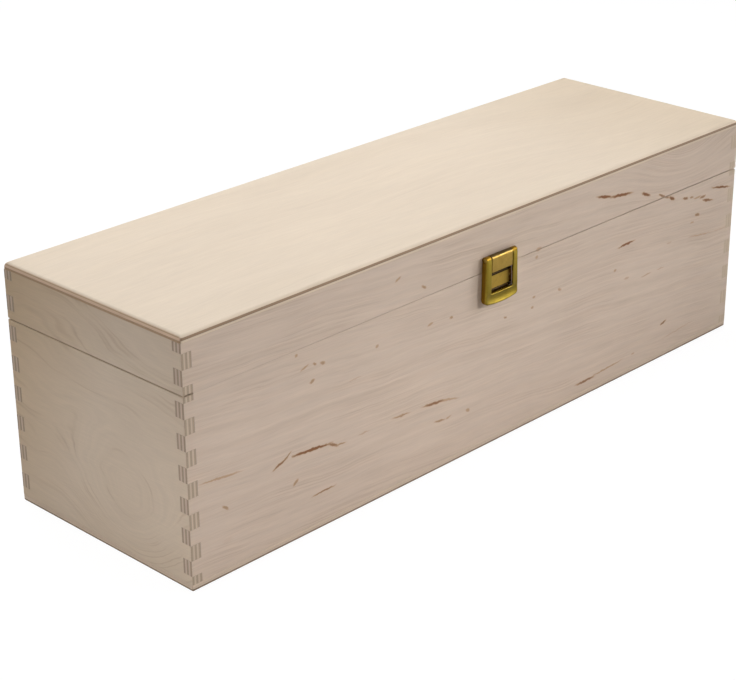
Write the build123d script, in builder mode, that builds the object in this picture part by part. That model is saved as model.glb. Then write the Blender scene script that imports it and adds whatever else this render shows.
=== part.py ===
from build123d import *
import math
import os

# A wooden wine box for one bottle, shut, in millimetres. It stands on the XY plane with its
# length along X, and the clasp is on the -Y side.
#
# The box is glued up shut, from plywood boards with finger-jointed corners, and then sawn apart
# along the seam. So the fingers run on from the base into the lid, and the saw cuts one of them.

# ------------------------------------------------------------------------------- box
length = 360.0
width = 110.0
height = 110.0
lid_height = 25.0  # from the seam to the top
wall_ply = 5.0  # thickness of the four walls
panel_ply = 3.0  # thickness of the top and the bottom
seam_gap = 0.3  # the lid rests this far above the base
finger = 6.85  # height of one finger
first_finger = 3.9  # height of the lowest, cut-off finger
corner_ease = 0.5  # radius of the upright corners
rim_ease = 0.6  # chamfer along the outside of both rims
top_round = 2.0  # radius along the top's edge
foot_round = 0.9  # radius along the bottom's edge
panel_corner = 0.3  # how much more than that radius a panel's corners are rounded in plan
hair = 0.001  # edges this close in height count as level

# ------------------------------------------------------------------------------- back hinges
hinge_length = 30.0
hinge_inset = 70.0  # from the end of the box to the middle of a hinge
hinge_leaf = 11.0  # from the pin's axis to the edge of a leaf
hinge_sheet = 0.8
hinge_corner = 0.8
hinge_pin_radius = 0.8
hinge_knuckles = 5
hinge_pin_overhang = 0.4  # the pin stands out this far at both ends
knuckle_gap = 0.15  # between two knuckles, and round one in the other leaf
running_gap = 0.05  # radial play of a pin in the piece that turns on it
screw_spacing = 18.0  # between the two screws of a leaf
screw_rise = 6.5  # from the pin's axis to a screw
screw_radius = 0.8
screw_head_radius = 1.5
screw_slot = 0.35
slot_turn = 55.0  # degrees from one screw's slot to the next
screw_point = 1.0
tip_cover = 0.8  # wood left in front of the tip of a screw or nail

# ------------------------------------------------------------------------------- latch
latch_sheet = 0.6
pivot_radius = 1.0
pivot_rise = 6.2  # from the seam to the pivot's axis
hasp_width = 20.0  # at the pivot
hasp_flare = 0.65  # what the frame gains on each side towards its bottom
hasp_drop = 21.5  # from the pivot's axis to the bottom of the frame
hasp_bar = 5.5  # height of the bar under the window
hasp_arm = 2.8  # width of an arm at the pivot
hasp_front = 3.5  # the frame stands this far out of the wood
hasp_lift = 0.3  # between the wood and the back edges of the frame
hasp_sag = 1.1  # how far the bottom edge bows down
hasp_corner = 1.8  # bottom corners of the frame, seen from the front
hasp_round = 0.9  # front edges of the frame
hasp_heel = 3.2  # height of the sloping cut at the bottom of the side returns
hasp_shoulder = 1.5  # the arms reach their full depth this far below the pivot
knuckle_clear = 0.1  # between the wood and the hasp's knuckles
window_corner = 0.5
window_fold = 0.4  # radius where the sheet turns back along the window's lower edge
lip_depth = 1.4  # the lip along the window's lower edge, behind the front sheet
plate_gap = 0.5  # between the latch plates and the arms beside them
wing_gap = 0.4  # between the plates' wings and the side returns
wing_height = 4.2
wing_stand = 0.6  # from the rims to the nailed wings
keeper_width = 5.0  # tab under the pivot pin
tongue_depth = 1.3  # the catch's tongue stands this far out of the wood
tongue_width = 13.2
tongue_drop = 1.2  # from the seam to the fold at the top of the tongue
catch_wing = 7.0  # height of the catch plate's nailed wings
catch_tail = 1.6  # the catch plate goes this far below its wings
hook_radius = 0.8
hook_turn = 70.0  # degrees
hook_gap = 0.2  # between the hook and the lip under it
nail_radius = 0.5
nail_head_radius = 0.85
nail_head_height = 0.4
nail_point = 0.3

# ------------------------------------------------------------------------------- worked out
seam = height - lid_height
base_rim = seam - seam_gap / 2
lid_rim = seam + seam_gap / 2
walls_low = panel_ply
walls_high = height - panel_ply
least_finger = 1.2 * rim_ease  # what the saw leaves thinner than this goes to the finger beside it

front_face = Plane.XZ.offset(width / 2)  # x along the box, y up, normal out of the front
back_face = Plane.XZ.offset(-width / 2)  # the same at the back, where the normal points in
left_face = Plane.YZ.offset(-length / 2)
right_face = Plane.YZ.offset(length / 2)
latch_side = Plane(origin=(0, -width / 2, 0), x_dir=(0, -1, 0), z_dir=(-1, 0, 0))  # x out of the wood, y up

hinge_knuckle = hinge_pin_radius + hinge_sheet
hinge_side = Plane(origin=(0, width / 2, 0), x_dir=(0, 1, 0), z_dir=(1, 0, 0))  # x out of the wood, y up
hinge_places = {"left": -(length / 2 - hinge_inset), "right": length / 2 - hinge_inset}
screw_in_wood = wall_ply - tip_cover
nail_in_wood = wall_ply - tip_cover

pivot_depth = pivot_radius + latch_sheet  # from the wood to the pivot's axis
pivot_height = seam + pivot_rise
hasp_knuckle = pivot_depth - knuckle_clear
hasp_low = pivot_height - hasp_drop
window_low = hasp_low + hasp_bar
window_width = hasp_width - 2 * hasp_arm
plate_width = window_width - 2 * plate_gap
wing_width = hasp_width - 2 * latch_sheet - 2 * wing_gap
nail_reach = (window_width + wing_width) / 4  # from the middle of the latch to a nail
lid_wing_low = lid_rim + wing_stand
lid_nail_height = lid_wing_low + wing_height / 2
tongue_top = seam - tongue_drop
catch_wing_high = tongue_top - wing_stand
catch_wing_low = catch_wing_high - catch_wing
catch_nail_height = catch_wing_high - catch_wing / 2

os.makedirs("parts", exist_ok=True)


def write(piece, name):
    piece.part.label = name
    export_step(piece.part, f"parts/{name}.step")


# ------------------------------------------------------------------------------- walls
def finger_cuts():
    """Heights where the fingers of a corner meet, from the bottom of the walls to their top."""
    cuts = [walls_low, walls_low + first_finger]
    while cuts[-1] + finger < walls_high:
        cuts.append(cuts[-1] + finger)
    return cuts + [walls_high]


def fingers(low, high, long_wall):
    """Lowest and highest point of each finger of a long wall or an end wall, between two heights."""
    cuts = finger_cuts()
    between = [cut for cut in cuts if low + least_finger < cut < high - least_finger]
    ends = [low, *between, high]
    spans = []
    for bottom, top in zip(ends, ends[1:]):
        row = sum(cut < (bottom + top) / 2 for cut in cuts)
        if long_wall == (row % 2 == 0):
            spans.append((bottom, top))
    return spans


def on_outside(edge):
    """True for an edge on the outer surface of the box's four sides."""
    middle = edge.center()
    return abs(middle.X) > (length - corner_ease) / 2 or abs(middle.Y) > (width - corner_ease) / 2


def at_corner(edge):
    middle = edge.center()
    return abs(middle.X) > (length - corner_ease) / 2 and abs(middle.Y) > (width - corner_ease) / 2


def level_edges(piece, height):
    return piece.edges().filter_by(lambda edge: abs(edge.center().Z - height) < hair)


def board(face, inward, run, low, high, rim, pilots=(), pilot_radius=0.0, pilot_depth=0.0):
    """One wall between two heights, drawn on its outer face, with pilot holes for its fixings."""
    with BuildPart() as wall:
        with BuildSketch(face):
            with Locations((0, (low + high) / 2)):
                Rectangle(run - 2 * wall_ply, high - low)
            for bottom, top in fingers(low, high, run == length):
                with Locations((0, (bottom + top) / 2)):
                    Rectangle(run, top - bottom)
        extrude(amount=inward * wall_ply)
        chamfer(level_edges(wall, rim).filter_by(on_outside), rim_ease)
        fillet(wall.edges().filter_by(Axis.Z).filter_by(at_corner), corner_ease)
        if pilots:
            with BuildSketch(face):
                with Locations(*pilots):
                    Circle(pilot_radius)
            extrude(amount=inward * pilot_depth, mode=Mode.SUBTRACT)
    return wall


def screw_spots(side):
    """Where the hinge screws go on the back, above the pin (side 1) or below it (side -1)."""
    spots = []
    for middle in hinge_places.values():
        for x in (middle - screw_spacing / 2, middle + screw_spacing / 2):
            spots.append((x, seam + side * screw_rise))
    return spots


lid_nails = [(-nail_reach, lid_nail_height), (nail_reach, lid_nail_height)]
catch_nails = [(-nail_reach, catch_nail_height), (nail_reach, catch_nail_height)]

for body, low, high, rim, side, nails in (
    ("base", walls_low, base_rim, base_rim, -1, catch_nails),
    ("lid", lid_rim, walls_high, lid_rim, 1, lid_nails),
):
    front_wall = board(front_face, -1, length, low, high, rim, nails, nail_radius, nail_in_wood)
    screws = screw_spots(side)
    back_wall = board(back_face, 1, length, low, high, rim, screws, screw_radius, screw_in_wood)
    left_wall = board(left_face, 1, width, low, high, rim)
    right_wall = board(right_face, -1, width, low, high, rim)
    write(front_wall, f"{body}_front_wall")
    write(back_wall, f"{body}_back_wall")
    write(left_wall, f"{body}_left_wall")
    write(right_wall, f"{body}_right_wall")

# ------------------------------------------------------------------------------- top and bottom
with BuildPart() as base_bottom_panel:
    with BuildSketch():
        RectangleRounded(length, width, foot_round + panel_corner)
    extrude(amount=panel_ply)
    fillet(base_bottom_panel.faces().sort_by(Axis.Z)[0].edges(), foot_round)
write(base_bottom_panel, "base_bottom_panel")

with BuildPart() as lid_top_panel:
    with BuildSketch(Plane.XY.offset(walls_high)):
        RectangleRounded(length, width, top_round + panel_corner)
    extrude(amount=panel_ply)
    fillet(lid_top_panel.faces().sort_by(Axis.Z)[-1].edges(), top_round)
write(lid_top_panel, "lid_top_panel")


# ------------------------------------------------------------------------------- hinges
def knuckle_spans(middle, own):
    """Ends along X of every second knuckle of a hinge: own is 0 for the base leaf, 1 for the lid leaf."""
    pitch = hinge_length / hinge_knuckles
    start = middle - hinge_length / 2
    return [(start + n * pitch, start + (n + 1) * pitch) for n in range(own, hinge_knuckles, 2)]


def leaf_piece(middle, side, own, bore):
    """A flat leaf with its knuckles: side is 1 above the pin, -1 below it."""
    with BuildPart() as leaf:
        with BuildSketch(back_face) as plate:
            with Locations((middle, seam + side * hinge_leaf / 2)):
                Rectangle(hinge_length, hinge_leaf)
            free_corners = plate.vertices().group_by(Axis.Y)[-1 if side > 0 else 0]
            fillet(free_corners, hinge_corner)
            for a, b in knuckle_spans(middle, 1 - own):
                with Locations(((a + b) / 2, seam)):
                    notch = 2 * (hinge_knuckle + knuckle_gap)
                    Rectangle(b - a + knuckle_gap, notch, mode=Mode.SUBTRACT)
        extrude(amount=-hinge_sheet)
        for a, b in knuckle_spans(middle, own):
            with BuildSketch(hinge_side.offset(a + knuckle_gap / 2)):
                with Locations((hinge_knuckle, seam)):
                    Circle(hinge_knuckle)
            extrude(amount=b - a - knuckle_gap)
        with BuildSketch(hinge_side.offset(middle)):
            with Locations((hinge_knuckle, seam)):
                Circle(bore)
        extrude(amount=hinge_length, both=True, mode=Mode.SUBTRACT)
        for x in (middle - screw_spacing / 2, middle + screw_spacing / 2):
            seat = Plane(origin=(x, width / 2 + hinge_sheet, seam + side * screw_rise), z_dir=(0, 1, 0))
            with Locations(seat):
                CounterSinkHole(screw_radius, screw_head_radius, hinge_sheet, 90)
    return leaf


def screw_group(side):
    """The four screws of one row of leaves, each with its head flush in the leaf."""
    with BuildPart() as screws:
        for number, (x, z) in enumerate(screw_spots(side)):
            head = Plane(origin=(x, width / 2 + hinge_sheet, z), z_dir=(0, 1, 0))
            with BuildSketch(Plane(origin=head.origin, x_dir=(1, 0, 0), z_dir=(0, 0, 1))):
                with BuildLine():
                    Polyline(
                        (0, 0),
                        (screw_head_radius, 0),
                        (screw_radius, screw_radius - screw_head_radius),
                        (screw_radius, screw_point - hinge_sheet - screw_in_wood),
                        (0, -hinge_sheet - screw_in_wood),
                        close=True,
                    )
                make_face()
            revolve(axis=Axis(head.origin, (0, 1, 0)))
            with BuildSketch(head):
                Rectangle(2 * screw_head_radius, screw_slot, rotation=number * slot_turn)
            extrude(amount=-screw_slot, mode=Mode.SUBTRACT)
    return screws


for name, middle in hinge_places.items():
    write(leaf_piece(middle, -1, 0, hinge_pin_radius), f"hinge_{name}_base_leaf")
    write(leaf_piece(middle, 1, 1, hinge_pin_radius + running_gap), f"hinge_{name}_lid_leaf")
    with BuildPart() as hinge_pin:
        with BuildSketch(hinge_side.offset(middle)):
            with Locations((hinge_knuckle, seam)):
                Circle(hinge_pin_radius)
        extrude(amount=hinge_length / 2 + hinge_pin_overhang, both=True)
        chamfer(hinge_pin.edges().filter_by(GeomType.CIRCLE), hinge_pin_overhang / 2)
    write(hinge_pin, f"hinge_{name}_pin")

write(screw_group(-1), "hinge_base_screws")
write(screw_group(1), "hinge_lid_screws")

# ------------------------------------------------------------------------------- latch, lid side
with BuildPart() as latch_lid_plate:
    # one strip of sheet goes up the wood, over the pivot pin, and down again to the seam
    with BuildSketch(latch_side):
        with BuildLine():
            back_leaf = Line((0, lid_wing_low), (0, pivot_height))
            roll = ThreePointArc(
                back_leaf @ 1,
                (pivot_depth, pivot_height + pivot_depth),
                (2 * pivot_depth, pivot_height),
            )
            Line(roll @ 1, (2 * pivot_depth, lid_rim))
            offset(amount=latch_sheet, side=Side.RIGHT)
        make_face()
    extrude(amount=plate_width / 2, both=True)
    # wings for the nails, behind the hasp's arms
    with BuildSketch(front_face):
        with Locations((0, lid_nail_height)):
            RectangleRounded(wing_width, wing_height, nail_radius)
    extrude(amount=latch_sheet)
    # a tab cut from the back leaf and bent forward holds the pin from below
    keeper_top = pivot_height - pivot_radius
    with BuildSketch(latch_side):
        with Locations((latch_sheet, keeper_top)):
            Rectangle(2 * pivot_radius, latch_sheet, align=(Align.MIN, Align.MAX))
    extrude(amount=keeper_width / 2, both=True)
    with BuildSketch(front_face):
        with Locations((0, keeper_top - latch_sheet)):
            Rectangle(keeper_width, 2 * pivot_radius, align=(Align.CENTER, Align.MAX))
        with Locations(*lid_nails):
            Circle(nail_radius)
    extrude(amount=latch_sheet, mode=Mode.SUBTRACT)
write(latch_lid_plate, "latch_lid_plate")

with BuildPart() as latch_pivot_pin:
    with BuildSketch(latch_side):
        with Locations((pivot_depth, pivot_height)):
            Circle(pivot_radius)
    extrude(amount=hasp_width / 2, both=True)
    chamfer(latch_pivot_pin.edges().filter_by(GeomType.CIRCLE), pivot_radius / 4)
write(latch_pivot_pin, "latch_pivot_pin")

# ------------------------------------------------------------------------------- latch, base side
with BuildPart() as latch_catch_plate:
    # the strip folds back on itself at the top, and its free end curls outwards as a hook
    fold = tongue_depth / 2
    hook_height = (hook_radius + latch_sheet) * math.sin(math.radians(hook_turn))
    hook_foot = window_low + hook_gap + hook_height
    with BuildSketch(latch_side):
        with BuildLine():
            back_leaf = Line((0, catch_wing_low - catch_tail), (0, tongue_top - fold))
            bend = ThreePointArc(back_leaf @ 1, (fold, tongue_top), (tongue_depth, tongue_top - fold))
            tongue = Line(bend @ 1, (tongue_depth, hook_foot))
            JernArc(tongue @ 1, (0, -1), hook_radius, hook_turn)
            offset(amount=latch_sheet, side=Side.RIGHT)
        make_face()
    extrude(amount=tongue_width / 2, both=True)
    with BuildSketch(front_face):
        with Locations((0, catch_nail_height)):
            RectangleRounded(wing_width, catch_wing, nail_radius)
    extrude(amount=latch_sheet)
    with BuildSketch(front_face):
        with Locations(*catch_nails):
            Circle(nail_radius)
    extrude(amount=latch_sheet, mode=Mode.SUBTRACT)
write(latch_catch_plate, "latch_catch_plate")


def nail_group(spots):
    """Nails with flat round heads on the plate's wings, each in its hole in the wood."""
    with BuildPart() as nails:
        with BuildSketch(front_face.offset(-nail_in_wood)):
            with Locations(*spots):
                Circle(nail_radius)
        extrude(amount=nail_in_wood + latch_sheet)
        with BuildSketch(front_face.offset(latch_sheet)):
            with Locations(*spots):
                Circle(nail_head_radius)
        extrude(amount=nail_head_height)
        chamfer(nails.faces().sort_by(Axis.Y)[:2].edges(), nail_head_height / 2)
        chamfer(nails.faces().sort_by(Axis.Y)[-2:].edges(), nail_point)
    return nails


write(nail_group(lid_nails), "latch_lid_nails")
write(nail_group(catch_nails), "latch_catch_nails")


# ------------------------------------------------------------------------------- hasp
def hasp_outline(inset, top):
    """The frame from the front, drawn this far inside its edge and up to this height."""
    upper = hasp_width / 2 - inset
    lower = upper + hasp_flare
    with BuildSketch(front_face) as outline:
        with BuildLine():
            left = Line((-upper, top), (-lower, hasp_low + hasp_sag + inset))
            bow = ThreePointArc(left @ 1, (0, hasp_low + inset), (lower, hasp_low + hasp_sag + inset))
            right = Line(bow @ 1, (upper, top))
            Line(right @ 1, left @ 0)
        make_face()
        fillet(outline.vertices().sort_by(Axis.Y)[:2], hasp_corner - inset)
    return outline.sketch


outer_outline = hasp_outline(0, pivot_height + hasp_knuckle)
inner_outline = hasp_outline(latch_sheet, pivot_height + hasp_knuckle)

with BuildPart() as hasp_hollow:
    # the room behind the sheet, open to the wood, with the two knuckles left standing in it
    extrude(inner_outline, amount=hasp_front - latch_sheet)
    with BuildSketch(latch_side):
        with Locations((pivot_depth, pivot_height)):
            Circle(hasp_knuckle)
        with Locations((0, pivot_height)):
            Rectangle(2 * hasp_front, 2 * hasp_knuckle, align=(Align.CENTER, Align.MIN))
    extrude(amount=hasp_width, both=True, mode=Mode.SUBTRACT)

with BuildPart() as latch_frame:
    extrude(outer_outline, amount=hasp_front)
    front_edges = latch_frame.faces().sort_by(Axis.Y)[0].edges()
    fillet(front_edges.sort_by(Axis.Z)[:-1], hasp_round)
    # from the side: a round knuckle at the top, and a heel cut away from the wood at the bottom
    with BuildSketch(latch_side) as side:
        with BuildLine():
            Polyline(
                (hasp_lift, pivot_height),
                (hasp_lift, hasp_low + hasp_heel),
                (pivot_depth, hasp_low - hasp_sag),
                (hasp_front, hasp_low - hasp_sag),
                (hasp_front, pivot_height - hasp_shoulder),
                (pivot_depth + hasp_knuckle, pivot_height),
                close=True,
            )
        make_face()
        with Locations((pivot_depth, pivot_height)):
            Circle(hasp_knuckle)
    extrude(amount=hasp_width, both=True, mode=Mode.INTERSECT)
    add(hasp_hollow.part, mode=Mode.SUBTRACT)
    # the window for the two plates, open at the top
    with BuildSketch(front_face) as window:
        with Locations((0, window_low)):
            Rectangle(window_width, 2 * hasp_drop, align=(Align.CENTER, Align.MIN))
        fillet(window.vertices().group_by(Axis.Y)[0], window_corner)
    extrude(amount=2 * hasp_front, mode=Mode.SUBTRACT)
    # the sheet turns back along the window's lower edge, and this lip goes under the hook
    with BuildSketch(front_face.offset(hasp_front - latch_sheet / 2)):
        with Locations((0, window_low)):
            Rectangle(window_width, latch_sheet, align=(Align.CENTER, Align.MAX))
    extrude(amount=-lip_depth - latch_sheet / 2)
    window_edges = level_edges(latch_frame, window_low).filter_by(Axis.X)
    fillet(window_edges.sort_by(Axis.Y)[0], window_fold)
    with BuildSketch(latch_side):
        with Locations((pivot_depth, pivot_height)):
            Circle(pivot_radius + running_gap)
    extrude(amount=hasp_width, both=True, mode=Mode.SUBTRACT)
write(latch_frame, "latch_frame")
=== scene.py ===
# %% [markdown]
# # A wooden wine box
#
# This lesson dresses the imported model of a plywood wine box: a long box for one bottle, with
# finger-jointed corners, a lid that was sawn off the glued box, and a small brass hasp in front.
# The imported model is the frame. Each piece that is made here sits where a solid of the frame is,
# and moves with the same body, so the box still opens when it is dressed.
#
# All lengths are in metres. The box stands on Z = 0 with its length along X, and its front looks
# along -Y.

# %% Load the frame
import bmesh
import bpy
import math
from mathutils import Matrix, Vector


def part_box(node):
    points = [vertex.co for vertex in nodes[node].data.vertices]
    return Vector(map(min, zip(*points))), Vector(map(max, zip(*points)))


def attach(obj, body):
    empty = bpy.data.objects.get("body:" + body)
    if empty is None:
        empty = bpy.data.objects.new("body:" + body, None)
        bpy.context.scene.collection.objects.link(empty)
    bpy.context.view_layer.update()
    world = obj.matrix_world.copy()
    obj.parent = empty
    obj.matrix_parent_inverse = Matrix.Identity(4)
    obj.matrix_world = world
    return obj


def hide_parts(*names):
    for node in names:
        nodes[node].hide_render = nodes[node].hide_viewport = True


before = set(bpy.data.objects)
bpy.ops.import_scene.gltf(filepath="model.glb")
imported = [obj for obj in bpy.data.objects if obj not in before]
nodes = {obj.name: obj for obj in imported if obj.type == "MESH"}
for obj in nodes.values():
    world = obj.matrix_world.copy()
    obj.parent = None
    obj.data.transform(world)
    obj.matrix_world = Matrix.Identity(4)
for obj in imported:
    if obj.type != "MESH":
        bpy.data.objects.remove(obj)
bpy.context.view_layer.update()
mm = 0.001

# %% [markdown]
# ## Sizes
#
# A few sizes are read from the frame itself: the box's outside, the walls, and the seam where the
# lid was sawn off. So nothing here has to be written twice, and a piece fits its neighbours.

# %% Measure the box
foot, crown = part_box("base_bottom_panel")[0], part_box("lid_top_panel")[1]
length, width, height = (high - low for high, low in zip(crown, foot))
left_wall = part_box("base_left_wall")
base_low, base_high = left_wall[0].z, left_wall[1].z
lid_low, lid_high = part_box("lid_left_wall")[0].z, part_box("lid_left_wall")[1].z
wall = left_wall[1].x - left_wall[0].x
seam = (base_high + lid_low) / 2
print(f"box {length:.3f} x {width:.3f} x {height:.3f}, seam at {seam:.3f}, walls {wall / mm:.1f} mm")

# %% [markdown]
# ## The camera
#
# The photograph looks down on the near left corner. The view was found by matching the corners of
# the box in it, which gives where the camera stands, how it is rolled and how long its lens is.
# The camera's three axes make its matrix: right, up, and back towards the photographer.

# %% Set up the camera
azimuth = math.radians(-45.5052)
elevation = math.radians(24.0091)
roll = math.radians(-0.514)
lens_in_pixels = 1964.3
picture_width = 736
offset_right, offset_up, distance = 17.49 * mm, -30.62 * mm, 925.25 * mm

right = Vector((math.cos(azimuth), math.sin(azimuth), 0))
back = Vector((math.sin(azimuth) * math.cos(elevation),
               -math.cos(azimuth) * math.cos(elevation),
               math.sin(elevation)))
up = back.cross(right)
right_rolled = math.cos(roll) * right + math.sin(roll) * up
up_rolled = -math.sin(roll) * right + math.cos(roll) * up
stand = distance * back - offset_right * right_rolled - offset_up * up_rolled

camera_data = bpy.data.cameras.new("camera")
camera_data.sensor_fit = "HORIZONTAL"
camera_data.sensor_width = 36
camera_data.lens = lens_in_pixels / picture_width * camera_data.sensor_width
camera = bpy.data.objects.new("camera", camera_data)
bpy.context.scene.collection.objects.link(camera)
camera.matrix_world = Matrix((right_rolled, up_rolled, back)).transposed().to_4x4()
camera.location = stand
bpy.context.scene.camera = camera
print("camera at", [round(c, 3) for c in stand], "with a", round(camera_data.lens, 1), "mm lens")

# %% [markdown]
# ## Arithmetic with nodes
#
# Every material and every Geometry Nodes tree below is built in code, and a few helpers keep that
# readable. `add` makes a node and fills its inputs with numbers or with what other nodes give.
#
# A `Wire` is what a node gives, and one can reckon with it: every sum, product or comparison of
# wires makes a Math node in the same tree, or a Vector Math node where vectors are involved. So
# the trees can be written as plain formulas. A comparison gives 1 where it is true, and else 0.
#
# `open_group` starts a tree whose inputs have names, and the start value of each tells what kind
# of socket it is. `close_group` names what the tree gives.

# %% Node helpers
def operator(operation):
    return lambda *terms: calc(operation, *terms)


class Wire:
    """What a node gives, to be linked to other nodes or to be reckoned with."""

    def __init__(self, socket):
        self.socket = socket
        self.tree = socket.id_data
        self.holds_vector = socket.type in ("VECTOR", "RGBA")

    __add__, __sub__ = operator("ADD"), operator("SUBTRACT")
    __mul__, __truediv__ = operator("MULTIPLY"), operator("DIVIDE")
    __mod__, __abs__ = operator("FLOORED_MODULO"), operator("ABSOLUTE")
    __gt__, __lt__ = operator("GREATER_THAN"), operator("LESS_THAN")


def add(tree, kind, inputs=None, **settings):
    node = tree.nodes.new(kind)
    for name, value in settings.items():
        setattr(node, name, value)
    for key, value in (inputs or {}).items():
        if isinstance(value, Wire):
            tree.links.new(value.socket, node.inputs[key])
        else:
            node.inputs[key].default_value = value
    return node


def wire(tree, kind, inputs=None, output=0, **settings):
    return Wire(add(tree, kind, inputs, **settings).outputs[output])


def wires(node):
    return {socket.name: Wire(socket) for socket in node.outputs if socket.name}


def use(tree, group, inputs):
    return wires(add(tree, "ShaderNodeGroup", inputs, node_tree=group))


def tree_of(*terms):
    return next(term.tree for term in terms if isinstance(term, Wire))


def calc(operation, *terms):
    inputs = dict(enumerate(terms))
    if any(isinstance(term, tuple) or isinstance(term, Wire) and term.holds_vector for term in terms):
        output = 1 if operation in ("DOT_PRODUCT", "LENGTH") else 0
        return wire(tree_of(*terms), "ShaderNodeVectorMath", inputs, output, operation=operation)
    return wire(tree_of(*terms), "ShaderNodeMath", inputs, operation=operation)


def split(vector):
    return [Wire(part) for part in add(vector.tree, "ShaderNodeSeparateXYZ", {0: vector}).outputs]


def join(x, y=0.0, z=0.0):
    return wire(tree_of(x, y, z), "ShaderNodeCombineXYZ", {0: x, 1: y, 2: z})


def clamp(value):
    return calc("MINIMUM", calc("MAXIMUM", value, 0.0), 1.0)


def ramp(value, low, high, start=0.0, end=1.0):
    """Goes smoothly from start to end while the value goes from low to high."""
    return wire(value.tree, "ShaderNodeMapRange", {"Value": value, "From Min": low, "From Max": high,
                "To Min": start, "To Max": end}, "Result", interpolation_type="SMOOTHSTEP")


def mix(share, a, b, kind="FLOAT"):
    """The first where the share is 0, the second where it is 1, and a blend of both between."""
    first, output = {"FLOAT": (2, 0), "VECTOR": (4, 1), "RGBA": (6, 2)}[kind]
    return wire(share.tree, "ShaderNodeMix", {0: share, first: a, first + 1: b}, output, data_type=kind)


def blend(share, a, b):
    return mix(share, a, b, "RGBA")


def noise(place, scale, detail=2.0, roughness=0.5, seed=None):
    """Smooth noise, along a line where the place is a number, and else in space."""
    inputs = {"Scale": scale, "Detail": detail, "Roughness": roughness}
    if place.holds_vector:
        inputs["Vector"] = place
        dimensions = "3D" if seed is None else "4D"
    else:
        dimensions, seed = "1D", place
    if seed is not None:
        inputs["W"] = seed
    return wire(place.tree, "ShaderNodeTexNoise", inputs, "Fac", noise_dimensions=dimensions)


GEOMETRY, MATERIAL = "NodeSocketGeometry", "NodeSocketMaterial"
KINDS = {"VALUE": "NodeSocketFloat", "VECTOR": "NodeSocketVector", "RGBA": "NodeSocketColor",
         "GEOMETRY": GEOMETRY}


def open_group(name, kind, inputs):
    tree = bpy.data.node_groups.new(name, kind)
    for label, value in inputs.items():
        if isinstance(value, str):
            tree.interface.new_socket(label, in_out="INPUT", socket_type=value)
            continue
        if isinstance(value, tuple):
            socket = KINDS["RGBA" if len(value) == 4 else "VECTOR"]
        else:
            socket = "NodeSocketInt" if isinstance(value, int) else KINDS["VALUE"]
        tree.interface.new_socket(label, in_out="INPUT", socket_type=socket).default_value = value
    return tree, wires(tree.nodes.new("NodeGroupInput"))


def close_group(tree, **results):
    for label, value in results.items():
        tree.interface.new_socket(label, in_out="OUTPUT", socket_type=KINDS[value.socket.type])
    end = tree.nodes.new("NodeGroupOutput")
    for label, value in results.items():
        tree.links.new(value.socket, end.inputs[label])
    print(tree.name, "has", len(tree.nodes), "nodes and gives", ", ".join(results))
    return tree


def fresh_tree(owner):
    """The node tree of a material or of the world, emptied."""
    owner.use_nodes = True
    owner.node_tree.nodes.clear()
    return owner.node_tree


origin = (0, 0, 0)
print("node helpers are ready")

# %% [markdown]
# ## Floor, background and light
#
# The photograph is a studio picture on pure white, with hardly any shadow. White behind the box
# comes from the colour of the world and the floor, never from more light on the box: where the
# camera or a reflection looks at them they are white, and for everything else they are dim. A
# part of the floor's colour still takes light, which keeps the shadow. What the brass mirrors is
# the studio: pale paper below, the white background at eye level, and a dark ceiling above.

# %% Floor and background
def rays(tree):
    """Two masks: where metal or glass looks, and where they or the camera look."""
    path = wires(add(tree, "ShaderNodeLightPath"))
    mirrored = calc("MAXIMUM", path["Is Glossy Ray"], path["Is Transmission Ray"])
    return mirrored, calc("MAXIMUM", mirrored, path["Is Camera Ray"])


world = bpy.data.worlds.new("studio")
bpy.context.scene.world = world
tree = fresh_tree(world)
mirrored, seen = rays(tree)
world_strength = 0.075
ceiling_share = 0.12
warm_white, pure_white = (1.0, 0.97, 0.93, 1), (1, 1, 1, 1)
soft_light = wire(tree, "ShaderNodeBackground", {"Color": warm_white, "Strength": world_strength})
looks_up = split(wire(tree, "ShaderNodeTexCoord", output="Generated"))[2]
ceiling = ramp(looks_up, 0.3, 0.75, 1.0, ceiling_share)
white = wire(tree, "ShaderNodeBackground", {"Color": pure_white, "Strength": ceiling})
shader = wire(tree, "ShaderNodeMixShader", {0: seen, 1: soft_light, 2: white})
add(tree, "ShaderNodeOutputWorld", {"Surface": shader})

floor_reach = 4.0
bpy.ops.mesh.primitive_plane_add(size=2 * floor_reach)
floor = bpy.context.object
floor.name = "floor"
paper = bpy.data.materials.new("white_paper")
tree = fresh_tree(paper)
mirrored, seen = rays(tree)
dim_paper, lit_paper = (0.78, 0.78, 0.78, 1), (0.95, 0.95, 0.95, 1)
white_glow, mirrored_glow = 1.06, 0.3
glow_share = 0.9  # the rest of the floor's white is lit by the lamps and keeps the shadow
pale = wire(tree, "ShaderNodeBsdfDiffuse", {"Color": dim_paper})
lit = wire(tree, "ShaderNodeBsdfDiffuse", {"Color": lit_paper})
glow_strength = mirrored * (mirrored_glow - white_glow) + white_glow
glow = wire(tree, "ShaderNodeEmission", {"Color": pure_white, "Strength": glow_strength})
white = wire(tree, "ShaderNodeMixShader", {0: glow_share, 1: lit, 2: glow})
shader = wire(tree, "ShaderNodeMixShader", {0: seen, 1: pale, 2: white})
add(tree, "ShaderNodeOutputMaterial", {"Surface": shader})
floor.data.materials.append(paper)
print("floor", floor_reach * 2, "m wide, world at", world_strength)

# %% [markdown]
# ## Lamps
#
# A wide lamp above and a little behind the box makes the top its palest side. Three weak ones
# with narrow beams bring out how the photograph's sides are lit: one aims at the middle of the
# front, one grazes the front from the right, and one lights the left end towards the near corner.

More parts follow.
